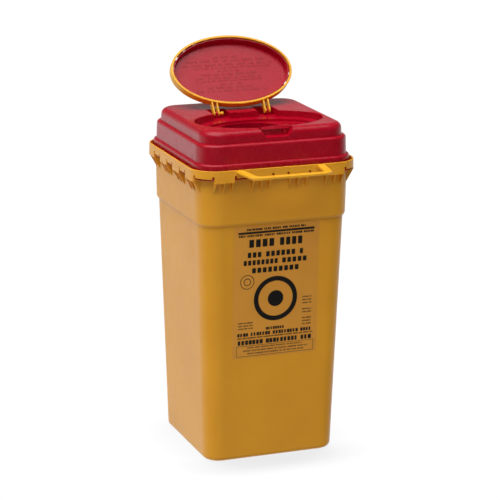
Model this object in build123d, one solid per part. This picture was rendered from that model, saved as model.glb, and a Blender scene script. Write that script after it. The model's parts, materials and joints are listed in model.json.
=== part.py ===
"""Square sharps container: tapered tub, stepped lid, oval flap and two carrying handles.

The frame has its origin on the ground at the centre of the base, +Z up and the front at -Y.
All lengths are in millimetres. The flap is written out in its open position, leaning back on its stop,
and the handles stand level, resting on the collar.
"""

import math
import os

from build123d import *

# ---------------------------------------------------------------- driving dimensions
# Every square outline is given by its half width and its corner radius.
WALL = 2.0  # moulded wall of the tub
LID_WALL = 2.2  # moulded wall of the lid

BASE_HALF, BASE_CORNER = 100.0, 25.0
SHOULDER_Z, SHOULDER_HALF, SHOULDER_CORNER = 357.5, 111.2, 29.0
BASE_EDGE = 7.0  # rounding where the walls meet the base
BASE_THICK = 3.2
FOOT_RECESS = 1.2  # the base stands on a rim this high
FOOT_WIDTH = 14.0

SKIRT_HALF_LOW, SKIRT_HALF_HIGH, SKIRT_CORNER, RIM_CORNER = 114.5, 116.0, 32.0, 33.5
LIP_HALF, LIP_RISE = 112.4, 3.6  # the skirt's lower edge slopes in to the shoulder
RIM_Z = 442.0  # top of the tub

COLLAR_HALF, COLLAR_CORNER, COLLAR_WALL = 124.5, 38.0, 2.2
COLLAR_TOP, BAND_LOW, TAB_LOW = 441.0, 429.4, 423.3
COLLAR_TAPER, COLLAR_EDGE = 0.4, 0.9  # the band leans in by the taper at its rounded top edge
WEB_THICK = 2.0
TAB_WIDTH, TAB_PITCH = 29.0, 56.0
TAB_CENTRES = [-1.5 * TAB_PITCH, -0.5 * TAB_PITCH, 0.5 * TAB_PITCH, 1.5 * TAB_PITCH]
SLOT_CENTRES = [-TAB_PITCH, 0.0, TAB_PITCH]
RIB_LOW, RIB_THICK, RIB_SPREAD, RIB_FOOT = 406.0, 1.8, 12.9, 0.9
WINDOW_WIDTH, WINDOW_TOP, WINDOW_OFFSET = 3.6, 433.1, 11.5

LID_SKIRT_HALF, LID_SKIRT_CORNER, LID_SKIRT_LOW = 118.3, 34.0, 427.2
LID_CLEARANCE = 0.35  # between the lid's skirt and the tub's rim
FLANGE_TOP, FLANGE_ROUND = 448.6, 3.8
MID_HALF_LOW, MID_HALF_HIGH, MID_CORNER = 114.4, 113.6, 31.0
MID_TOP, MID_ROUND = 475.5, 4.6
TOP_HALF_LOW, TOP_HALF_HIGH, TOP_CORNER = 108.6, 107.8, 29.0
LID_TOP, TOP_ROUND = 493.5, 9.4
HOOK_HALF, HOOK_TOP, HOOK_WIDTH, HOOK_TAPER, HOOK_CORNER = 123.2, 429.1, 25.0, 1.0, 36.7

OVAL_Y = -36.0  # centre line of the oval recess, opening and flap
RECESS_A, RECESS_B, RECESS_FLOOR = 96.5, 61.0, 483.5
WELL_A, WELL_B, WELL_FLOOR = 81.0, 41.5, 480.0
HOLE_X, HOLE_A, HOLE_B = -13.0, 49.0, 37.0
CHUTE_LOW, CHUTE_WALL = 462.0, 2.0  # the skirt that hangs under the opening
RIM_CHAMFER = 0.9  # on the upper edges of the recess and its hinge pockets

# The notch leaves the recess's front wall standing across it as a springy latch tongue.
NOTCH_X, NOTCH_HALF_TOP, NOTCH_HALF_LOW, NOTCH_FLOOR = 1.0, 26.5, 17.7, 482.4
NOTCH_FRONT_Z = 480.5  # the notch's floor slopes down to its front edge
TONGUE_LEFT, TONGUE_CREST, TONGUE_RIGHT = (-20.5, 493.5), (1.0, 495.5), (21.0, 494.9)
BEAD_LOW, BEAD_HIGH, BEAD_OUT, CREST_OUT = 490.6, 491.3, 3.6, 1.2  # from the recess wall outwards
FRONT_CURVE = RECESS_A**2 / RECESS_B  # radius of the oval where it meets the tongue
LATCH_X, LATCH_Z, LATCH_DEPTH = (-8.0, 10.5), (484.2, 489.8), 1.2
POST_X, POST_OUT, POST_TOP = (12.6, 15.2), 2.4, 490.0

HINGE_Y, HINGE_Z, HINGE_X = 34.0, 490.0, 40.0
PIN_R, PIN_CLEARANCE = 1.7, 0.1
LUG_R, LUG_HALF, LUG_MOUTH = 3.4, 1.5, 2.72  # the clip is open at its top by its mouth
FORK_R, FORK_THICK, FORK_OFFSET = 3.6, 2.0, 3.5
HEAD_R, HEAD_STEM_R, HEAD_OUT = 2.7, 1.4, 4.6  # round head on the left pin
POCKET_IN, POCKET_OUT, POCKET_BACK = 22.0, 50.0, 50.0
BLOCK_FRONT, BLOCK_BACK = (25.0, 491.0), (46.0, 493.5)  # (y, z) of the slope between the pockets
FLAP_OPEN_DEG = 131.0

RING_A, RING_B, RING_WALL, RING_WALL_HIGH = 94.4, 59.0, 3.2, 1.6
RING_LOW, RING_TOP, RING_ROUND, RING_LOW_ROUND = 484.0, 495.5, 1.2, 0.9
ARM_TOP = 493.5  # where the hinge forks leave the ring
LEDGE_LOW, LEDGE_TOP, LEDGE_OUT = 489.6, 490.8, 1.2  # the panel's flange rests against this ledge
RIM_SLOTS, SLOT_LENGTH, SLOT_WIDTH, SLOT_BITE = 24, 7.0, 1.9, 0.3
FINGER_LIP_HALF, FINGER_LIP_OUT, FINGER_LIP_LOW = 11.0, 1.3, 491.1

PANEL_GAP = 0.2  # all round, between the panel's flange and the ring
FLANGE_LOW, FLANGE_THICK = 488.2, 1.2
# The dish's rim stands up inside the flange. Each inset is counted from the ring's outer face.
RIM_LOW, RIM_OUT_INSET, RIM_IN_INSET = 486.0, 4.8, 5.9
DISH_FLOOR, DISH_TOP, DISH_SHOULDER = 495.5, 497.3, 492.2
DISH_FLOOR_INSET, DISH_TOP_INSET = 8.2, 6.5

HANDLE_ROOT_OUT, HANDLE_ROOT_IN = 67.0, 56.0
HANDLE_END_OUT, HANDLE_END_IN = 60.5, 50.5
HANDLE_REACH, HANDLE_BAR = 49.0, 8.8
HANDLE_TOP, HANDLE_THICK, HANDLE_GAP, HANDLE_EDGE = 440.0, 4.0, 0.5, 1.1
HANDLE_CORNER_OUT, HANDLE_CORNER_IN = 15.0, 8.0
INNER_START = 9.0  # the opening is cut from this far behind the root, so that it leaves two legs

LABEL_HALF, LABEL_LOW, LABEL_HIGH = 65.5, 157.0, 355.0
LABEL_THICK, LABEL_LIFT, LABEL_CORNER = 0.25, 0.02, 3.0

FAR = 400.0  # longer than anything that it cuts
EPS = 0.01


# ---------------------------------------------------------------- shared shapes
def slab(half_low, z_low, half_high, z_high, corner_low, corner_high=None):
    """A square block with rounded corners, whose sides slope evenly from z_low to z_high."""
    corner_high = corner_low if corner_high is None else corner_high
    low = Pos(0, 0, z_low) * RectangleRounded(2 * half_low, 2 * half_low, corner_low)
    high = Pos(0, 0, z_high) * RectangleRounded(2 * half_high, 2 * half_high, corner_high)
    return loft([low, high], ruled=True)


def oval(a, b, z_low, z_high, x=0.0):
    """An upright elliptical block on the flap's centre line."""
    return Pos(x, OVAL_Y, z_low) * extrude(Ellipse(a, b), z_high - z_low)


def span(x, y, z):
    """A box from three (low, high) pairs."""
    size = [high - low for low, high in (x, y, z)]
    centre = [(high + low) / 2 for low, high in (x, y, z)]
    return Pos(*centre) * Box(*size)


def round_top(solid, radius):
    return fillet(solid.edges().group_by(Axis.Z)[-1], radius)


def round_low(solid, radius):
    return fillet(solid.edges().group_by(Axis.Z)[0], radius)


def along_x(profile, x_low, x_high):
    """Extrudes a (y, z) outline from x_low to x_high."""
    plane = Plane(origin=(x_low, 0, 0), x_dir=(0, 1, 0), z_dir=(1, 0, 0))
    return extrude(plane * profile, x_high - x_low, dir=(1, 0, 0))


def quarter_turns(shapes):
    """The list of every shape turned to each of the four sides."""
    return [Rot(0, 0, turn) * shape for turn in (0, 90, 180, 270) for shape in shapes]


def flare(outline, z, out):
    """A cutter that opens a flat outline outwards from z up to z + out."""
    wide = offset(outline, out)
    return loft([Pos(0, 0, z) * outline, Pos(0, 0, z + out) * wide], ruled=True)


# ---------------------------------------------------------------- tub
def tub_outside():
    lower = slab(BASE_HALF, 0, SHOULDER_HALF, SHOULDER_Z + 2, BASE_CORNER, SHOULDER_CORNER)
    lower = round_low(lower, BASE_EDGE)
    lip_top = SHOULDER_Z + LIP_RISE
    lip = slab(LIP_HALF, SHOULDER_Z, SKIRT_HALF_LOW, lip_top, SHOULDER_CORNER, SKIRT_CORNER)
    skirt = slab(SKIRT_HALF_LOW, lip_top, SKIRT_HALF_HIGH, RIM_Z, SKIRT_CORNER, RIM_CORNER)
    return lower, skirt + lip


def make_tub():
    """Tapered tub with the wider skirt above its shoulder."""
    lower, skirt = tub_outside()
    inner_low = slab(
        BASE_HALF - WALL,
        BASE_THICK,
        SHOULDER_HALF - WALL,
        SHOULDER_Z + 1,
        BASE_CORNER - WALL,
        SHOULDER_CORNER - WALL,
    )
    inner_low = round_low(inner_low, BASE_EDGE - WALL)
    inner_high = slab(
        SKIRT_HALF_LOW - WALL,
        SHOULDER_Z + WALL,
        SKIRT_HALF_HIGH - WALL,
        RIM_Z + 1,
        SKIRT_CORNER - WALL,
    )
    throat = SHOULDER_HALF - WALL
    through = slab(throat, SHOULDER_Z, throat, SHOULDER_Z + 3, SHOULDER_CORNER - WALL)
    foot_half = BASE_HALF - BASE_EDGE - FOOT_WIDTH
    foot = slab(foot_half - 1, -EPS, foot_half - 2, FOOT_RECESS, BASE_CORNER - WALL)
    return lower + skirt - inner_low - inner_high - through - foot


def tab_boxes(half_width, centres, z_low, z_high):
    """Boxes over the collar's tabs or slots, on all four sides."""
    inside = COLLAR_HALF - COLLAR_CORNER / 2
    y_range = (-COLLAR_HALF - 5, -inside)
    one_side = [span((c - half_width, c + half_width), y_range, (z_low, z_high)) for c in centres]
    return quarter_turns(one_side)


def make_collar():
    """Outer snap collar with its slotted lower edge, floor webs and three gussets under each tab."""
    lower, skirt = tub_outside()
    tub_solid = lower + skirt
    inner_half, inner_corner = COLLAR_HALF - COLLAR_WALL, COLLAR_CORNER - COLLAR_WALL
    band = slab(COLLAR_HALF, TAB_LOW, COLLAR_HALF - COLLAR_TAPER, COLLAR_TOP, COLLAR_CORNER)
    hollow = slab(inner_half, TAB_LOW - 1, inner_half - COLLAR_TAPER, COLLAR_TOP + 1, inner_corner)
    band = round_top(band - hollow, COLLAR_EDGE)
    tabs = tab_boxes(TAB_WIDTH / 2, TAB_CENTRES, TAB_LOW - 1, BAND_LOW)
    upper = band - span((-FAR, FAR), (-FAR, FAR), (TAB_LOW - 1, BAND_LOW))
    web = slab(COLLAR_HALF - 1, TAB_LOW, COLLAR_HALF - 1, TAB_LOW + WEB_THICK, COLLAR_CORNER - 1)
    web = web - tub_solid
    rib_in, rib_out = SKIRT_HALF_LOW + RIB_FOOT, COLLAR_HALF - COLLAR_TAPER
    wedge = slab(rib_in, RIB_LOW, rib_out, TAB_LOW + EPS, SKIRT_CORNER, COLLAR_CORNER)
    wedge = wedge - tub_solid
    rib_centres = [c + step for c in TAB_CENTRES for step in (-RIB_SPREAD, 0, RIB_SPREAD)]
    ribs = tab_boxes(RIB_THICK / 2, rib_centres, RIB_LOW, TAB_LOW + EPS)
    window_centres = [c + side * WINDOW_OFFSET for c in SLOT_CENTRES for side in (-1, 1)]
    corner_window = TAB_CENTRES[-1] + TAB_WIDTH / 2 + WINDOW_WIDTH / 2
    window_centres += [-corner_window, corner_window]
    windows = tab_boxes(WINDOW_WIDTH / 2, window_centres, BAND_LOW - 1, WINDOW_TOP)
    lower_parts = [box & (band + web) for box in tabs] + [box & wedge for box in ribs]
    return upper.fuse(*lower_parts) - windows


# ---------------------------------------------------------------- lid
def lid_outside():
    flange = slab(LID_SKIRT_HALF, LID_SKIRT_LOW, LID_SKIRT_HALF, FLANGE_TOP, LID_SKIRT_CORNER)
    flange = round_top(flange, FLANGE_ROUND)
    middle = slab(MID_HALF_LOW, FLANGE_TOP - 2, MID_HALF_HIGH, MID_TOP, MID_CORNER)
    middle = round_top(middle, MID_ROUND)
    top = slab(TOP_HALF_LOW, MID_TOP - 1, TOP_HALF_HIGH, LID_TOP, TOP_CORNER)
    return flange + middle + round_top(top, TOP_ROUND)


def lid_inside():
    skirt_half = SKIRT_HALF_HIGH + LID_CLEARANCE
    skirt_corner = RIM_CORNER + LID_CLEARANCE
    skirt = slab(skirt_half, LID_SKIRT_LOW - 1, skirt_half, RIM_Z, skirt_corner)
    middle = slab(
        MID_HALF_LOW - LID_WALL,
        RIM_Z - 1,
        MID_HALF_HIGH - LID_WALL,
        MID_TOP - LID_WALL,
        MID_CORNER - LID_WALL,
    )
    middle = round_top(middle, MID_ROUND - LID_WALL)
    top = slab(
        TOP_HALF_LOW - LID_WALL,
        MID_TOP - 4,
        TOP_HALF_HIGH - LID_WALL,
        LID_TOP - LID_WALL,
        TOP_CORNER - LID_WALL,
    )
    return skirt + middle + round_top(top, TOP_ROUND - LID_WALL)


def pocket_outline(side, grow=0.0):
    """The flat outline of one pocket behind the recess, grown sideways and backwards by grow."""
    low, high = sorted((side * (POCKET_IN - grow), side * (POCKET_OUT + grow)))
    depth = POCKET_BACK + grow - OVAL_Y
    return Pos((low + high) / 2, OVAL_Y + depth / 2) * Rectangle(high - low, depth)


def hinge_pockets(grow, z_low, z_high):
    """The two pockets behind the recess, as blocks."""
    return [Pos(0, 0, z_low) * extrude(pocket_outline(side, grow), z_high - z_low) for side in (-1, 1)]


def hinge_lug(x):
    """An open-topped clip that holds one cross pin of the flap."""
    post = Pos(HINGE_Y, (RECESS_FLOOR + HINGE_Z) / 2) * Rectangle(2 * LUG_R, HINGE_Z - RECESS_FLOOR + 0.2)
    outline = post + Pos(HINGE_Y, HINGE_Z) * Circle(LUG_R)
    mouth = Pos(HINGE_Y, HINGE_Z + LUG_R) * Rectangle(LUG_MOUTH, 2 * LUG_R)
    outline = outline - Pos(HINGE_Y, HINGE_Z) * Circle(PIN_R + PIN_CLEARANCE) - mouth
    return along_x(outline, x - LUG_HALF, x + LUG_HALF)


def notch(grow, floor):
    """The tapered prism of the finger notch, which runs out through the front of the top step."""
    low, high, top = NOTCH_HALF_LOW + grow, NOTCH_HALF_TOP + grow, LID_TOP + 0.5
    outline = Polygon((-low, floor), (low, floor), (high, top), (-high, top), align=None)
    return Pos(NOTCH_X, 0, 0) * extrude(Plane.XZ * outline, FAR, dir=(0, -1, 0))


def latch_tongue():
    """The recess wall across the notch, solid as yet, with an arched crest, an outer bead and a post."""
    left, crest, right = TONGUE_LEFT, TONGUE_CREST, TONGUE_RIGHT
    foot_left, foot_right = (left[0], NOTCH_FLOOR - 1), (right[0], NOTCH_FLOOR - 1)
    outline = make_face(
        [
            Line(foot_left, foot_right),
            Line(foot_right, right),
            ThreePointArc(right, crest, left),
            Line(left, foot_left),
        ]
    )
    arch = Pos(0, OVAL_Y - RECESS_B / 2, 0) * extrude(Plane.XZ * outline, FAR, dir=(0, -1, 0))
    wall = oval(RECESS_A + LID_WALL, RECESS_B + LID_WALL, NOTCH_FLOOR - 1, BEAD_HIGH - 0.1)
    centre_y, rise = OVAL_Y - RECESS_B + FRONT_CURVE, TONGUE_CREST[1] + 0.2 - BEAD_HIGH
    bead = Cylinder(FRONT_CURVE + BEAD_OUT, BEAD_HIGH - BEAD_LOW)
    bead = Pos(0, centre_y, (BEAD_LOW + BEAD_HIGH) / 2) * bead
    crest = Cone(FRONT_CURVE + BEAD_OUT, FRONT_CURVE + CREST_OUT, rise)
    crest = Pos(0, centre_y, BEAD_HIGH + rise / 2) * crest
    wall_y = OVAL_Y - RECESS_B - LID_WALL
    post = span(POST_X, (wall_y - POST_OUT, wall_y + 1), (NOTCH_FLOOR - 1, POST_TOP))
    return (wall.fuse(bead, crest) & arch) + post


def make_lid():
    """Stepped lid with the oval recess, hinge pockets, opening and finger notch."""
    inside, outside = lid_inside(), lid_outside()
    shell = outside - inside
    boss_low = RECESS_FLOOR - LID_WALL
    boss = oval(RECESS_A + LID_WALL, RECESS_B + LID_WALL, boss_low, LID_TOP - 1)
    well = oval(WELL_A + LID_WALL, WELL_B + LID_WALL, WELL_FLOOR - LID_WALL, boss_low + 1)
    notch_block = notch(LID_WALL, NOTCH_FRONT_Z - LID_WALL) & span(
        (-FAR, FAR), (-TOP_HALF_LOW + 1, OVAL_Y - RECESS_B / 2), (0, LID_TOP - 1)
    )
    extra = boss.fuse(well, notch_block, *hinge_pockets(LID_WALL, boss_low, LID_TOP - 1))
    shell = shell.fuse(extra & inside)
    chute = oval(HOLE_A + CHUTE_WALL, HOLE_B + CHUTE_WALL, CHUTE_LOW, WELL_FLOOR - 1, HOLE_X)
    shell = shell.fuse(chute)
    recess = oval(RECESS_A, RECESS_B, RECESS_FLOOR, LID_TOP + 5)
    rim_z = LID_TOP - RIM_CHAMFER
    tongue_range = (TONGUE_LEFT[0], TONGUE_RIGHT[0])
    oval_rim = flare(Pos(0, OVAL_Y) * Ellipse(RECESS_A, RECESS_B), rim_z, 2 * RIM_CHAMFER)
    rims = [oval_rim - span(tongue_range, (-FAR, OVAL_Y), (0, FAR + LID_TOP))]
    rims += [flare(pocket_outline(side), rim_z, 2 * RIM_CHAMFER) for side in (-1, 1)]
    recess = recess.fuse(*hinge_pockets(0, RECESS_FLOOR, LID_TOP + 5), *rims)
    behind_wall = oval(RECESS_A + LID_WALL, RECESS_B + LID_WALL, NOTCH_FLOOR - 1, LID_TOP + 2)
    wall_y = OVAL_Y - RECESS_B - LID_WALL
    low, high = (-TOP_HALF_LOW - 1, NOTCH_FRONT_Z), NOTCH_FLOOR + 0.5
    ramp = Polygon((wall_y, NOTCH_FLOOR), low, (low[0], high), (wall_y, high), align=None)
    ramp = along_x(ramp, NOTCH_X - NOTCH_HALF_LOW, NOTCH_X + NOTCH_HALF_LOW)
    shell = shell - (notch(0, NOTCH_FLOOR) - behind_wall) - ramp + latch_tongue() - recess
    well_cut = oval(WELL_A, WELL_B, WELL_FLOOR, LID_TOP)
    hole = oval(HOLE_A, HOLE_B, CHUTE_LOW - 1, LID_TOP, HOLE_X)
    above = LID_TOP + 2
    top_corners = [(BLOCK_BACK[0], above), (BLOCK_FRONT[0] - 5, above)]
    slope = Polygon(BLOCK_FRONT, BLOCK_BACK, *top_corners, align=None)
    block_slope = along_x(slope, -POCKET_IN, POCKET_IN)
    pocket = span(LATCH_X, (wall_y - 1, wall_y + LATCH_DEPTH), LATCH_Z)
    shell = shell - well_cut - hole - block_slope - pocket
    hook_ring = slab(HOOK_HALF, LID_SKIRT_LOW, HOOK_HALF - HOOK_TAPER, HOOK_TOP, HOOK_CORNER)
    hook_in = LID_SKIRT_HALF - 1
    hook_ring = hook_ring - slab(hook_in, 0, hook_in, FAR + HOOK_TOP, LID_SKIRT_CORNER - 1)
    hook_boxes = tab_boxes(HOOK_WIDTH / 2, SLOT_CENTRES, LID_SKIRT_LOW, HOOK_TOP)
    corner = TAB_CENTRES[-1] + TAB_WIDTH / 2 + 1.5
    hook_boxes += quarter_turns([span((corner, FAR), (-FAR, -corner), (LID_SKIRT_LOW, HOOK_TOP))])
    hooks = [box & hook_ring for box in hook_boxes]
    lugs = [hinge_lug(side * HINGE_X) for side in (-1, 1)]
    return shell.fuse(*hooks, *lugs)


# ---------------------------------------------------------------- flap, modelled shut and then opened
def open_flap(shape):
    return Pos(0, HINGE_Y, HINGE_Z) * Rot(-FLAP_OPEN_DEG, 0, 0) * Pos(0, -HINGE_Y, -HINGE_Z) * shape


def ellipse_stations(a, b, count):
    """Angles that space count points evenly along an ellipse."""
    steps = 1440
    angles = [2 * math.pi * i / steps for i in range(steps + 1)]
    points = [(a * math.cos(t), b * math.sin(t)) for t in angles]
    lengths = [0.0]
    for before, after in zip(points, points[1:]):
        lengths.append(lengths[-1] + math.dist(before, after))
    stations, i = [], 0
    for k in range(count):
        while lengths[i] < lengths[-1] * (k + 0.5) / count:
            i += 1
        stations.append(angles[i])
    return stations


def rim_slots():
    """Slots where the panel's flange meets the ring, left out beside the hinge forks."""
    inset = RING_WALL - SLOT_BITE + SLOT_WIDTH / 2
    a, b = RING_A - inset, RING_B - inset
    low, high = FLANGE_LOW - 1, LEDGE_TOP + 1
    slots = []
    for t in ellipse_stations(a, b, RIM_SLOTS):
        x, y = a * math.cos(t), b * math.sin(t)
        if y > 0 and abs(abs(x) - HINGE_X) < SLOT_LENGTH / 2 + 2 * FORK_OFFSET:
            continue
        turn = math.degrees(math.atan2(b * math.cos(t), -a * math.sin(t)))
        slot = Box(SLOT_LENGTH, SLOT_WIDTH, high - low)
        slots.append(Pos(x, OVAL_Y + y, (low + high) / 2) * Rot(0, 0, turn) * slot)
    return slots


def fork_arm(x_low, x_high, radius):
    """One rib from the ring back to the hinge line."""
    ring_y = OVAL_Y + RING_B * math.sqrt(1 - (HINGE_X / RING_A) ** 2) - RING_WALL
    ring_high, ring_low = (ring_y, ARM_TOP), (ring_y, RING_LOW + RING_LOW_ROUND)
    end_high, end_low = (HINGE_Y, HINGE_Z + radius), (HINGE_Y, HINGE_Z - radius)
    outline = make_face(
        [
            Line(ring_high, end_high),
            ThreePointArc(end_high, (HINGE_Y + radius, HINGE_Z), end_low),
            Line(end_low, ring_low),
            Line(ring_low, ring_high),
        ]
    )
    body = along_x(outline, x_low, x_high)
    return body - oval(RING_A - 1, RING_B - 1, RING_LOW - 1, RING_TOP + 1)


def make_flap_ring():
    """Yellow rim of the flap with its ledge, hinge forks, cross pins and finger lip."""
    wall = round_top(oval(RING_A, RING_B, RING_LOW, RING_TOP), RING_ROUND)
    wall = round_low(wall, RING_LOW_ROUND)
    wall = wall - oval(RING_A - RING_WALL, RING_B - RING_WALL, RING_LOW - 1, RING_TOP + 1)
    wall = wall - oval(RING_A - RING_WALL_HIGH, RING_B - RING_WALL_HIGH, LEDGE_TOP, RING_TOP + 1)
    ledge_in = RING_WALL + LEDGE_OUT
    ledge = oval(RING_A - RING_WALL_HIGH, RING_B - RING_WALL_HIGH, LEDGE_LOW, LEDGE_TOP)
    ledge = ledge - oval(RING_A - ledge_in, RING_B - ledge_in, LEDGE_LOW - 1, LEDGE_TOP + 1)
    lip = oval(RING_A + FINGER_LIP_OUT, RING_B + FINGER_LIP_OUT, FINGER_LIP_LOW, ARM_TOP)
    lip = lip - oval(RING_A - 1, RING_B - 1, RING_LOW, RING_TOP)
    lip = lip & span((-FINGER_LIP_HALF, FINGER_LIP_HALF), (-FAR, OVAL_Y), (0, FAR + RING_TOP))
    parts = [ledge, lip]
    for side in (-1, 1):
        for offset_x in (-FORK_OFFSET, FORK_OFFSET):
            x = side * HINGE_X + offset_x
            parts.append(fork_arm(x - FORK_THICK / 2, x + FORK_THICK / 2, FORK_R))
        pin = Pos(side * HINGE_X, HINGE_Y, HINGE_Z) * Rot(0, 90, 0) * Cylinder(PIN_R, 2 * FORK_OFFSET)
        parts.append(pin)
    return open_flap(wall.fuse(*parts, *pin_head()) - rim_slots())


def pin_head():
    """The left pin runs on past its fork and ends in a round head."""
    fork_face = -HINGE_X + FORK_OFFSET + FORK_THICK / 2
    stem = Cylinder(HEAD_STEM_R, HEAD_OUT)
    stem = Pos(fork_face + HEAD_OUT / 2 - EPS, HINGE_Y, HINGE_Z) * Rot(0, 90, 0) * stem
    return [stem, Pos(fork_face + HEAD_OUT, HINGE_Y, HINGE_Z) * Sphere(HEAD_R)]


def inset_cone(inset_low, z_low, inset_high, z_high):
    """An elliptical block inside the ring whose size changes evenly from z_low to z_high."""
    low = Pos(0, OVAL_Y, z_low) * Ellipse(RING_A - inset_low, RING_B - inset_low)
    high = Pos(0, OVAL_Y, z_high) * Ellipse(RING_A - inset_high, RING_B - inset_high)
    return loft([low, high], ruled=True)


def make_flap_panel():
    """Red panel held in the ring: a slotted flange round a dish, which is seen from below when shut."""
    out = RING_WALL + PANEL_GAP
    flange = oval(RING_A - out, RING_B - out, FLANGE_LOW, FLANGE_LOW + FLANGE_THICK)
    rim = oval(RING_A - RIM_OUT_INSET, RING_B - RIM_OUT_INSET, RIM_LOW, DISH_SHOULDER)
    back = inset_cone(RIM_OUT_INSET, DISH_SHOULDER, DISH_TOP_INSET, DISH_TOP)
    hollow = inset_cone(RIM_IN_INSET, RIM_LOW, DISH_FLOOR_INSET, DISH_FLOOR)
    below = oval(RING_A - RIM_IN_INSET, RING_B - RIM_IN_INSET, RIM_LOW - 1, RIM_LOW + EPS)
    return open_flap(rim.fuse(back, flange) - hollow - below - rim_slots())


# ---------------------------------------------------------------- handles
def trapezium(near_half, near_y, far_half, far_y):
    """A flat outline with its two parallel sides across the handle."""
    near, far = [(-near_half, near_y), (near_half, near_y)], [(far_half, far_y), (-far_half, far_y)]
    return Polygon(*near, *far, align=None)


def make_handle(front):
    """Flat carrying loop that folds up about the collar's top edge."""
    root = COLLAR_HALF + HANDLE_GAP
    end = COLLAR_HALF + HANDLE_REACH
    bar = end - HANDLE_BAR
    outer = trapezium(HANDLE_ROOT_OUT, -root, HANDLE_END_OUT, -end)
    inner = trapezium(HANDLE_ROOT_IN, INNER_START - root, HANDLE_END_IN, -bar)
    outer = fillet(outer.vertices().group_by(Axis.Y)[0], HANDLE_CORNER_OUT)
    inner = fillet(inner.vertices().group_by(Axis.Y)[0], HANDLE_CORNER_IN)
    loop = Pos(0, 0, HANDLE_TOP - HANDLE_THICK) * extrude(outer - inner, HANDLE_THICK, dir=(0, 0, 1))
    rims = loop.edges().group_by(Axis.Z)[0] + loop.edges().group_by(Axis.Z)[-1]
    rims = [e for e in rims if e.center().Y < -root - 0.1]
    loop = fillet(rims, HANDLE_EDGE)
    return loop if front else Rot(0, 0, 180) * loop


# ---------------------------------------------------------------- label
def make_label():
    """Printed film on the sloping front wall."""
    slope = (SHOULDER_HALF - BASE_HALF) / (SHOULDER_Z + 2)
    tilt = math.degrees(math.atan(slope))
    middle = (LABEL_LOW + LABEL_HIGH) / 2
    film = extrude(RectangleRounded(2 * LABEL_HALF, LABEL_HIGH - LABEL_LOW, LABEL_CORNER), LABEL_THICK)
    face = Pos(0, -(BASE_HALF + slope * middle) - LABEL_LIFT, middle)
    return face * Rot(90 + tilt, 0, 0) * film


def main():
    os.makedirs("parts", exist_ok=True)
    nodes = {
        "tub_body": make_tub(),
        "snap_collar": make_collar(),
        "main_lid": make_lid(),
        "flap_ring": make_flap_ring(),
        "flap_panel": make_flap_panel(),
        "front_handle": make_handle(front=True),
        "rear_handle": make_handle(front=False),
        "front_label": make_label(),
    }
    for name, shape in nodes.items():
        export_step(shape, f"parts/{name}.step")
        print(name, "solids", len(shape.solids()), "volume", round(shape.volume))


main()
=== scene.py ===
import json
import math
import random

import bmesh
import bpy
from mathutils import Matrix, Vector


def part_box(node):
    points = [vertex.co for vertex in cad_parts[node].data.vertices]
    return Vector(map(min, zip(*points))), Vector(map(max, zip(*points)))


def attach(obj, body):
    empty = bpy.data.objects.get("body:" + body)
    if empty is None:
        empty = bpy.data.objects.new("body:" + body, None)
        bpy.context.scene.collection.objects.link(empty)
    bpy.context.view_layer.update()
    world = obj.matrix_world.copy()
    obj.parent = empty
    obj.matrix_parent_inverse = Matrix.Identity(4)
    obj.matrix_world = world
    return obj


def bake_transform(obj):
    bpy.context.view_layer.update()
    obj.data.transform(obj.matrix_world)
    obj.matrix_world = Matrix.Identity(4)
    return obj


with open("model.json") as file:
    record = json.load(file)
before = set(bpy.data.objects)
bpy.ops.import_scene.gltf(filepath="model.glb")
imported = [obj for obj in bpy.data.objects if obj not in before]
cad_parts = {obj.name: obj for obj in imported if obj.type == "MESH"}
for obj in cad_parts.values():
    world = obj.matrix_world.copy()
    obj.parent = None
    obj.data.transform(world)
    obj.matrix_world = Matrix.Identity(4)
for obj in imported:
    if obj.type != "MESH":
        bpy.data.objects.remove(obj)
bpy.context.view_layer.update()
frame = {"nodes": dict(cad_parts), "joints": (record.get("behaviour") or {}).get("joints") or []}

MM = 0.001  # the sizes below are in millimetres, and Blender works in metres

# ---------------------------------------------------------------- driving dimensions
# Camera: it looks at a point on the container's middle plane.
AZIMUTH, ELEVATION, ROLL = -20.95, 15.04, 0.382
DISTANCE, AIM_RIGHT, AIM_UP = 3.2256, 0.0013, 0.2785
LENS, SENSOR = 153.2, 36.0

# Studio: how bright the white sweep, the sides and the front of the room are in reflections.
SWEEP_GLOW, STUDIO_GLOW, STUDIO_FRONT = 0.85, 0.12, 0.02
# Contact shadow: its reach in metres, the floor's tone in it, and its share beside the container.
SHADOW_REACH, SHADOW_TONE, SHADOW_SIDE = 0.085, 0.68, 0.25
SHADOW_FULL_Y, SHADOW_WEAK_Y = -0.135, -0.075
FLOOR_SIZE, FLOOR_GLOW = 30.0, 1.03
OVERHEAD = (-0.22, -0.2, 1.0)

# Label on the sloping front wall. Heights on it are counted from the ground.
LABEL_LOW, WALL_TILT = 157.0, 1.785
INK = 0.05  # thickness of the print
# A letter block's pitch and rounding are shares of its height. A heading block fills a share of its pitch.
LETTER_PITCH, BLOCK_ROUND, HEADING_FILL = 0.85, 0.12, 0.7
FRAME_X, FRAME_MIDDLE, FRAME_HALF, FRAME_LINE = (-59, 60), 167.6, 7.8, 0.6
PICTOGRAM, STAMP = (0, 244), (-44, 272)

# Flap, described shut: its panel's inner floor faces down at this height.
PANEL_FLOOR = 495.5
MARK_HEIGHT = 0.35

# Well floor of the lid, right of the opening.
LID_FLOOR = 480.0

# Webs between the collar and the handles' roots, built straight.
COLLAR_HALF, HANDLE_GAP, HANDLE_TOP = 124.5, 0.5, 440.0
WEB_THICK, WEB_PROUD, WEB_X_LOW, WEB_X_HIGH = 1.1, 0.1, 57.0, 66.0
WEB_START, WEB_STEP, WEB_STEPS, WEB_MARGIN = 0.9, 0.3, 8, 0.3  # it starts this far inside the collar

# Depths of the plastic's fine grain and slow waves, and of the film's orange peel.
GRAIN_DEPTH, WAVE_DEPTH, PEEL_DEPTH = 0.15 * MM, 2.0 * MM, 0.1 * MM
POLYPROPYLENE_IOR = 1.49


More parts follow.
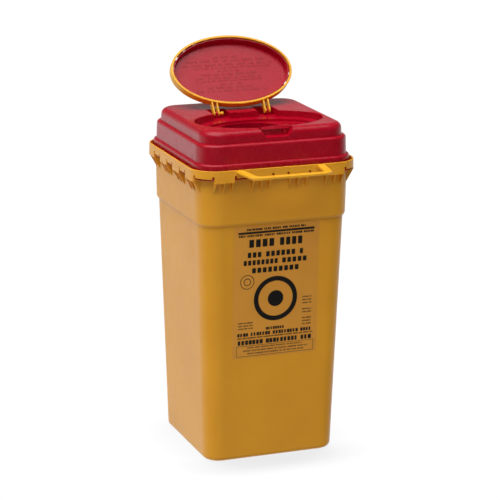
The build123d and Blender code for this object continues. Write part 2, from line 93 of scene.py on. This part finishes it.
# ---------------------------------------------------------------- node helpers
def new_material(name):
    material = bpy.data.materials.new(name)
    material.use_nodes = True
    tree = material.node_tree
    shader = tree.nodes["Principled BSDF"]
    coordinates = tree.nodes.new("ShaderNodeTexCoord").outputs["Object"]
    return material, tree, shader, coordinates


def noise(tree, coordinates, scale, detail=3.0, roughness=0.5):
    node = tree.nodes.new("ShaderNodeTexNoise")
    node.inputs["Scale"].default_value = scale
    node.inputs["Detail"].default_value = detail
    node.inputs["Roughness"].default_value = roughness
    tree.links.new(coordinates, node.inputs["Vector"])
    return node.outputs["Fac"]


def ramp(tree, factor, stops):
    node = tree.nodes.new("ShaderNodeValToRGB")
    for element, (place, colour) in zip(node.color_ramp.elements, stops):
        element.position = place
        element.color = (*colour, 1.0)
    tree.links.new(factor, node.inputs["Fac"])
    return node.outputs["Color"]


def spread(tree, factor, low, high):
    """Maps a noise value, which stays mostly between 0.3 and 0.7, to low..high."""
    node = tree.nodes.new("ShaderNodeMapRange")
    node.inputs["From Min"].default_value = 0.3
    node.inputs["From Max"].default_value = 0.7
    node.inputs["To Min"].default_value = low
    node.inputs["To Max"].default_value = high
    tree.links.new(factor, node.inputs["Value"])
    return node.outputs["Result"]


def bump(tree, height, strength, distance, below=None):
    node = tree.nodes.new("ShaderNodeBump")
    node.inputs["Strength"].default_value = strength
    node.inputs["Distance"].default_value = distance
    tree.links.new(height, node.inputs["Height"])
    if below is not None:
        tree.links.new(below, node.inputs["Normal"])
    return node.outputs["Normal"]


# ---------------------------------------------------------------- materials
def moulded_plastic(name, light, dark, roughness, grain=0.1, flow=0.06, subsurface=0.0):
    """Injection-moulded polypropylene: slow colour drift, fine spark-eroded grain, faint flow waves."""
    material, tree, shader, coordinates = new_material(name)
    drift = noise(tree, coordinates, 9.0, detail=2.0)
    tree.links.new(ramp(tree, drift, [(0.35, light), (0.68, dark)]), shader.inputs["Base Color"])
    gloss = noise(tree, coordinates, 60.0, detail=4.0)
    tree.links.new(spread(tree, gloss, roughness - 0.05, roughness + 0.05), shader.inputs["Roughness"])
    waves = bump(tree, noise(tree, coordinates, 25.0, detail=1.0), flow, WAVE_DEPTH)
    grain_height = noise(tree, coordinates, 1100.0, detail=2.0, roughness=0.6)
    tree.links.new(bump(tree, grain_height, grain, GRAIN_DEPTH, below=waves), shader.inputs["Normal"])
    shader.inputs["IOR"].default_value = POLYPROPYLENE_IOR
    if subsurface:
        shader.inputs["Subsurface Weight"].default_value = subsurface
        shader.inputs["Subsurface Radius"].default_value = (1.0, 0.45, 0.12)
        shader.inputs["Subsurface Scale"].default_value = 3.0 * MM
    return material


def printed_film():
    """Glossier film with a faint orange-peel surface and a slightly faded ground."""
    material, tree, shader, coordinates = new_material("label_film")
    fade = noise(tree, coordinates, 14.0, detail=3.0)
    ground = ramp(tree, fade, [(0.35, (0.80, 0.345, 0.036)), (0.7, (0.74, 0.305, 0.032))])
    tree.links.new(ground, shader.inputs["Base Color"])
    tree.links.new(spread(tree, noise(tree, coordinates, 90.0), 0.3, 0.42), shader.inputs["Roughness"])
    peel = bump(tree, noise(tree, coordinates, 420.0, detail=1.0), 0.12, PEEL_DEPTH)
    tree.links.new(peel, shader.inputs["Normal"])
    return material


def printing_ink(name, light, dark):
    """Screen-printed ink with tiny thin spots."""
    material, tree, shader, coordinates = new_material(name)
    cover = noise(tree, coordinates, 900.0, detail=4.0, roughness=0.65)
    tree.links.new(ramp(tree, cover, [(0.4, dark), (0.74, light)]), shader.inputs["Base Color"])
    tree.links.new(spread(tree, noise(tree, coordinates, 200.0), 0.38, 0.55), shader.inputs["Roughness"])
    return material


def dress(node, material):
    mesh = frame["nodes"][node].data
    mesh.materials.clear()
    mesh.materials.append(material)


# ---------------------------------------------------------------- mesh helpers
def piece(name, mesh, material, body):
    """Makes a mesh into a piece that rides on a CAD body."""
    built = bpy.data.meshes.new(name)
    bmesh.ops.recalc_face_normals(mesh, faces=mesh.faces)
    mesh.to_mesh(built)
    mesh.free()
    built.materials.append(material)
    obj = bpy.data.objects.new(name, built)
    bpy.context.scene.collection.objects.link(obj)
    if body:
        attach(obj, body)
    return obj


def rounded_bar(width, height, radius, steps=3):
    """The outline of a bar about its own centre, with rounded corners."""
    radius = min(radius, width / 2, height / 2)
    points = []
    for corner, (sx, sy) in enumerate(((1, 1), (-1, 1), (-1, -1), (1, -1))):
        for i in range(steps + 1):
            angle = math.radians(90 * corner + 90 * i / steps)
            x = sx * (width / 2 - radius) + radius * math.cos(angle)
            y = sy * (height / 2 - radius) + radius * math.sin(angle)
            points.append((x, y))
    return points


def add_prism(mesh, outline, centre, thickness, place):
    """Adds an outline as a closed slab that rises from place's ground plane."""
    rings = []
    for w in (0.0, thickness):
        points = [Vector((centre[0] + u, centre[1] + v, w)) for u, v in outline]
        rings.append([mesh.verts.new(place @ (point * MM)) for point in points])
    low, high = rings
    mesh.faces.new(low[::-1])
    mesh.faces.new(high)
    for i in range(len(outline)):
        k = (i + 1) % len(outline)
        mesh.faces.new((low[i], low[k], high[k], high[i]))


def add_bar(mesh, left, right, middle, height, thickness, place, radius=0.3):
    outline = rounded_bar(right - left, height, radius)
    add_prism(mesh, outline, ((left + right) / 2, middle), thickness, place)


def add_annulus(mesh, centre, outer, inner, thickness, place, steps=72):
    """Adds a flat closed ring."""
    rows = []
    for radius, w in ((outer, 0.0), (outer, thickness), (inner, thickness), (inner, 0.0)):
        row = []
        for i in range(steps):
            angle = 2 * math.pi * i / steps
            point = Vector((centre[0] + radius * math.cos(angle), centre[1] + radius * math.sin(angle), w))
            row.append(mesh.verts.new(place @ (point * MM)))
        rows.append(row)
    for a, b in zip(rows, rows[1:] + rows[:1]):
        for i in range(steps):
            k = (i + 1) % steps
            mesh.faces.new((a[i], a[k], b[k], b[i]))


def add_words(mesh, row, height, place, seed, thickness, word=(3, 9), gap=0.7, fill=0.62):
    """Fills a row, given as (left, right, middle), with plain blocks, set in groups as words are."""
    left, right, middle = row
    draw = random.Random(seed)
    step = height * LETTER_PITCH
    u = left
    while u < right - 0.4 * step:
        count = draw.randint(*word)
        for _ in range(count):
            if u > right - 0.4 * step:
                break
            wide = step * fill * draw.uniform(0.75, 1.2)
            radius = BLOCK_ROUND * height
            add_bar(mesh, u, min(u + wide, right), middle, height, thickness, place, radius)
            u += step
        u += gap * step


# ---------------------------------------------------------------- label
def label_place():
    """Turns millimetres across, up and out of the label's face into the container's frame."""
    low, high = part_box("front_label")
    tilt = math.radians(WALL_TILT)
    up = Vector((0, -math.sin(tilt), math.cos(tilt)))
    out = Vector((0, -math.cos(tilt), -math.sin(tilt)))
    top_face = Vector((0, low.y, high.z))  # the face's top edge is the furthest forward
    bottom_face = top_face - up * (high.z - LABEL_LOW * MM) / up.z
    place = Matrix.Identity(4)
    for column, axis in enumerate((Vector((1, 0, 0)), up, out)):
        for row in range(3):
            place[row][column] = axis[row]
    ground = bottom_face - up * (LABEL_LOW * MM)  # so that v is the height above the ground
    place.translation = ground
    return place


def make_label(film, ink, grey_ink):
    dress("front_label", film)
    place = label_place()

    mesh = bmesh.new()
    add_bar(mesh, -59, 58, 345.1, 3.2, INK, place, radius=0.4)
    piece("label_fill_line", mesh, ink, "container")

    mesh = bmesh.new()
    headings = [
        (-42, -1, 329, 11.6, 4),
        (5, 42, 329, 11.6, 4),
        (-44, -21, 312, 7.8, 3),
        (-16, 31, 312, 7.8, 6),
        (36, 43, 312, 7.8, 1),
        (-50, 4, 300.5, 7.4, 8),
        (9, 49, 300.5, 7.4, 5),
        (-37, 37, 288.5, 7.6, 9),
    ]
    for left, right, middle, height, count in headings:
        step = (right - left) / count
        for i in range(count):
            u = left + step * i
            add_bar(mesh, u, u + HEADING_FILL * step, middle, height, INK, place, radius=0.7)
    piece("label_headings", mesh, ink, "container")

    mesh = bmesh.new()
    rows = [
        ((-46, 44, 349.8), 3.2),
        ((-58, 57, 340.6), 3.2),
        ((-14, 15, 199.5), 4.2),
        ((-58, 59, 192.6), 5.2),
        ((-58, 59, 187.4), 2.0),
        ((-57, 59, 180.6), 6.6),
    ]
    for number, (row, height) in enumerate(rows):
        add_words(mesh, row, height, place, number, INK, fill=0.76)
    piece("label_rows", mesh, ink, "container")

    mesh = bmesh.new()
    small = [(42, 56, h) for h in (242, 237.4, 232.8, 223.4, 219, 210, 205.4, 200.8)]
    small += [(-57, -34, h) for h in (210.5, 206.2, 202)]
    small += [(-42, 43, 172.4), (-49, 51, 168), (-42, 45, 163.6)]
    for number, row in enumerate(small):
        add_words(mesh, row, 2.0, place, 50 + number, INK, fill=0.72)
    for middle in (FRAME_MIDDLE + FRAME_HALF, FRAME_MIDDLE - FRAME_HALF):
        add_bar(mesh, *FRAME_X, middle, FRAME_LINE, INK, place, radius=0.1)
    for u in FRAME_X:
        half, height = FRAME_LINE / 2, 2 * FRAME_HALF + FRAME_LINE
        add_bar(mesh, u - half, u + half, FRAME_MIDDLE, height, INK, place, radius=0.1)
    piece("label_small_rows", mesh, grey_ink, "container")

    mesh = bmesh.new()
    add_annulus(mesh, PICTOGRAM, 33.5, 26.5, INK, place)
    add_annulus(mesh, PICTOGRAM, 12.0, 0.01, INK, place)
    piece("label_pictogram", mesh, ink, "container")

    mesh = bmesh.new()
    add_annulus(mesh, STAMP, 10.8, 9.7, INK, place)
    add_annulus(mesh, STAMP, 5.6, 4.4, INK, place)
    piece("label_stamp", mesh, grey_ink, "container")


# ---------------------------------------------------------------- raised marks
def flap_place():
    """Millimetres on the shut flap's underside, looking down out of it, to the open flap."""
    hinge = next(joint for joint in frame["joints"] if joint["name"] == "flap_hinge")
    pivot = Matrix.Translation(hinge["pos_m"])
    turn = Matrix.Rotation(math.radians(-hinge["range_deg"][1]), 4, "X")
    face = Matrix.Translation((0, 0, PANEL_FLOOR * MM)) @ Matrix.Diagonal((1, 1, -1, 1))
    return pivot @ turn @ pivot.inverted() @ face


def make_panel_marks(red):
    """Rows of raised blocks moulded into the flap's panel."""
    place = flap_place()
    mesh = bmesh.new()
    rows = [
        ((-20, 17, -64), 3.0),
        ((-64, 63, -58), 3.4),
        ((-71, 69, -51.5), 3.4),
        ((-54, 65, -46), 2.0),
        ((-19, 15, -41), 3.0),
        ((-46, 41, -35), 3.2),
        ((-54, 49, -29), 3.2),
        ((-56, 47, -24), 1.8),
        ((-19, 15, -18), 3.0),
        ((-41, 35, -12.5), 3.0),
        ((-60, 56, -7), 3.0),
    ]
    for number, (row, height) in enumerate(rows):
        add_words(mesh, row, height, place, 100 + number, MARK_HEIGHT, word=(2, 6), gap=1.5)
    # The material given here is the darker mark red, which is painted shade around the raised blocks.
    piece("panel_marks", mesh, red, "flap")


def make_lid_marks(red):
    """Small raised blocks on the well's floor, to the right of the opening."""
    place = Matrix.Translation((0, 0, LID_FLOOR * MM))
    mesh = bmesh.new()
    rows = [(35, 55, -64), (41, 62, -56), (42, 68, -48), (42, 72, -40), (42, 72, -32), (42, 68, -24)]
    rows.append((41, 62, -16))
    for number, row in enumerate(rows):
        add_words(mesh, row, 3.6, place, 200 + number, MARK_HEIGHT)
    piece("lid_marks", mesh, red, "container")


# ---------------------------------------------------------------- webs of the handles
def make_webs(yellow):
    """Thin webs, built straight, between the collar's outer face and each handle's two roots."""
    top = HANDLE_TOP + WEB_PROUD
    for side, handle in ((-1, "front_handle"), (1, "rear_handle")):
        for end, tag in ((-1, "left"), (1, "right")):
            mesh = bmesh.new()
            low, high = sorted((end * WEB_X_LOW, end * WEB_X_HIGH))
            corners = [(low, top - WEB_THICK), (high, top - WEB_THICK), (high, top), (low, top)]
            rings = []
            for i in range(WEB_STEPS + 1):
                y = side * (COLLAR_HALF - WEB_START + i * WEB_STEP)
                rings.append([mesh.verts.new((x * MM, y * MM, z * MM)) for x, z in corners])
            for a, b in zip(rings, rings[1:]):
                for i in range(4):
                    k = (i + 1) % 4
                    mesh.faces.new((a[i], a[k], b[k], b[i]))
            mesh.faces.new(rings[0])
            mesh.faces.new(rings[-1][::-1])
            web = piece(f"{handle}_web_{tag}", mesh, yellow, None)
            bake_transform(web)


# ---------------------------------------------------------------- studio
def make_camera():
    azimuth, elevation = math.radians(AZIMUTH), math.radians(ELEVATION)
    level = math.cos(elevation)
    back = Vector((math.sin(azimuth) * level, -math.cos(azimuth) * level, math.sin(elevation)))
    right = Vector((math.cos(azimuth), math.sin(azimuth), 0))
    up = back.cross(right)
    turn = Matrix((right, up, back)).transposed().to_4x4() @ Matrix.Rotation(math.radians(ROLL), 4, "Z")
    camera = bpy.data.objects.new("camera", bpy.data.cameras.new("camera"))
    camera.data.lens = LENS
    camera.data.sensor_width = SENSOR
    camera.matrix_world = Matrix.Translation(back * DISTANCE + right * AIM_RIGHT + up * AIM_UP) @ turn
    bpy.context.scene.collection.objects.link(camera)
    bpy.context.scene.camera = camera


def sun_light(name, direction, angle, strength):
    """A soft sun that shines from direction; strength is what a white face towards it would show."""
    data = bpy.data.lights.new(name, "SUN")
    data.energy = strength * math.pi
    data.angle = math.radians(angle)
    light = bpy.data.objects.new(name, data)
    light.rotation_euler = Vector(direction).to_track_quat("Z", "Y").to_euler()
    bpy.context.scene.collection.objects.link(light)
    return light


def map_range(tree, value, low, high, to_low, to_high):
    node = tree.nodes.new("ShaderNodeMapRange")
    for name, number in (("From Min", low), ("From Max", high), ("To Min", to_low), ("To Max", to_high)):
        node.inputs[name].default_value = number
    tree.links.new(value, node.inputs["Value"])
    return node.outputs["Result"]


def combine(tree, operation, a, b):
    node = tree.nodes.new("ShaderNodeMath")
    node.operation = operation
    for socket, value in zip(node.inputs, (a, b)):
        if isinstance(value, (int, float)):
            socket.default_value = value
        else:
            tree.links.new(value, socket)
    return node.outputs["Value"]


def make_floor():
    """A white sweep with a soft contact shadow. Only the camera sees it: the world gives its light."""
    mesh = bpy.data.meshes.new("floor")
    corners = [(x * FLOOR_SIZE, y * FLOOR_SIZE, 0) for x, y in ((-1, -1), (1, -1), (1, 1), (-1, 1))]
    mesh.from_pydata(corners, [], [(0, 1, 2, 3)])
    material, tree, shader, coordinates = new_material("studio_white")
    nearby = tree.nodes.new("ShaderNodeAmbientOcclusion")
    nearby.samples = 24
    nearby.inputs["Distance"].default_value = SHADOW_REACH
    split = tree.nodes.new("ShaderNodeSeparateXYZ")
    tree.links.new(coordinates, split.inputs[0])
    front = map_range(tree, split.outputs["Y"], SHADOW_FULL_Y, SHADOW_WEAK_Y, 1.0, SHADOW_SIDE)
    shade = map_range(tree, nearby.outputs["AO"], 0.5, 1.0, FLOOR_GLOW - SHADOW_TONE, 0.0)
    glow = combine(tree, "SUBTRACT", FLOOR_GLOW, combine(tree, "MULTIPLY", shade, front))
    shader.inputs["Base Color"].default_value = (0, 0, 0, 1)
    shader.inputs["Roughness"].default_value = 1.0
    shader.inputs["Specular IOR Level"].default_value = 0.0
    shader.inputs["Emission Color"].default_value = (1, 1, 1, 1)
    tree.links.new(glow, shader.inputs["Emission Strength"])
    mesh.materials.append(material)
    floor = bpy.data.objects.new("floor", mesh)
    floor.visible_diffuse = False
    floor.visible_glossy = False
    floor.visible_shadow = False
    bpy.context.scene.collection.objects.link(floor)


def make_world():
    """A dim studio with a bright white sweep below the horizon, behind the container."""
    world = bpy.data.worlds.new("studio")
    world.use_nodes = True
    tree = world.node_tree
    direction = tree.nodes.new("ShaderNodeTexCoord").outputs["Generated"]
    split = tree.nodes.new("ShaderNodeSeparateXYZ")
    tree.links.new(direction, split.inputs[0])
    below = map_range(tree, split.outputs["Z"], -0.1, 0.3, 1.0, 0.0)
    behind = map_range(tree, split.outputs["Y"], -0.3, 0.5, 0.0, 1.0)
    sweep = combine(tree, "MULTIPLY", combine(tree, "MULTIPLY", below, behind), SWEEP_GLOW)
    dim = map_range(tree, split.outputs["Y"], -0.9, -0.2, STUDIO_FRONT, STUDIO_GLOW)
    lit = combine(tree, "ADD", sweep, dim)
    camera_ray = tree.nodes.new("ShaderNodeLightPath").outputs["Is Camera Ray"]
    strength = combine(tree, "MAXIMUM", lit, camera_ray)
    background = tree.nodes["Background"]
    background.inputs["Color"].default_value = (1, 1, 1, 1)
    tree.links.new(strength, background.inputs["Strength"])
    bpy.context.scene.world = world


def make_studio():
    make_camera()
    make_world()
    make_floor()
    sun_light("overhead", OVERHEAD, 70.0, 0.6)
    matt_lights = [
        sun_light("overhead_soft", OVERHEAD, 70.0, 0.65),
        sun_light("floor_bounce", (-0.2, -0.75, -1.0), 110.0, 0.3),
        sun_light("front_fill", (-0.3, -1.0, 0.25), 90.0, 0.06),
    ]
    for light in matt_lights:
        light.visible_glossy = False
    bpy.context.scene.view_settings.view_transform = "Standard"


# ---------------------------------------------------------------- the container
def main():
    yellow = moulded_plastic(
        "yellow_polypropylene", (0.86, 0.385, 0.017), (0.81, 0.35, 0.014), 0.37, subsurface=0.12
    )
    # Paler copy of the yellow for the flap ring, handles and webs. Part of it is real: the thinner plastic
    # gets more subsurface. Part is a painted highlight: the lighter base colour stands in for the strong
    # light on their upper faces.
    pale_yellow_painted_highlight = moulded_plastic(
        "thin_yellow_painted_highlight", (0.94, 0.47, 0.024), (0.9, 0.43, 0.02), 0.35, subsurface=0.15
    )
    red = moulded_plastic(
        "red_polypropylene", (0.43, 0.001, 0.016), (0.39, 0.0008, 0.012), 0.27, grain=0.02, flow=0.015
    )
    # Darker copy of the red for the flap panel's raised marks: painted shade, standing in for the shading
    # around the small raised blocks.
    mark_red_painted_shade = moulded_plastic(
        "raised_red_painted_shade", (0.35, 0.001, 0.013), (0.31, 0.0008, 0.011), 0.34, grain=0.02, flow=0.0
    )
    film = printed_film()
    ink = printing_ink("black_ink", (0.022, 0.018, 0.015), (0.005, 0.005, 0.006))
    grey_ink = printing_ink("thin_black_ink", (0.09, 0.05, 0.02), (0.02, 0.016, 0.012))
    for node in ("tub_body", "snap_collar"):
        dress(node, yellow)
    for node in ("flap_ring", "front_handle", "rear_handle"):
        dress(node, pale_yellow_painted_highlight)
    for node in ("main_lid", "flap_panel"):
        dress(node, red)
    make_studio()
    make_label(film, ink, grey_ink)
    make_panel_marks(mark_red_painted_shade)
    make_lid_marks(red)
    make_webs(pale_yellow_painted_highlight)


main()
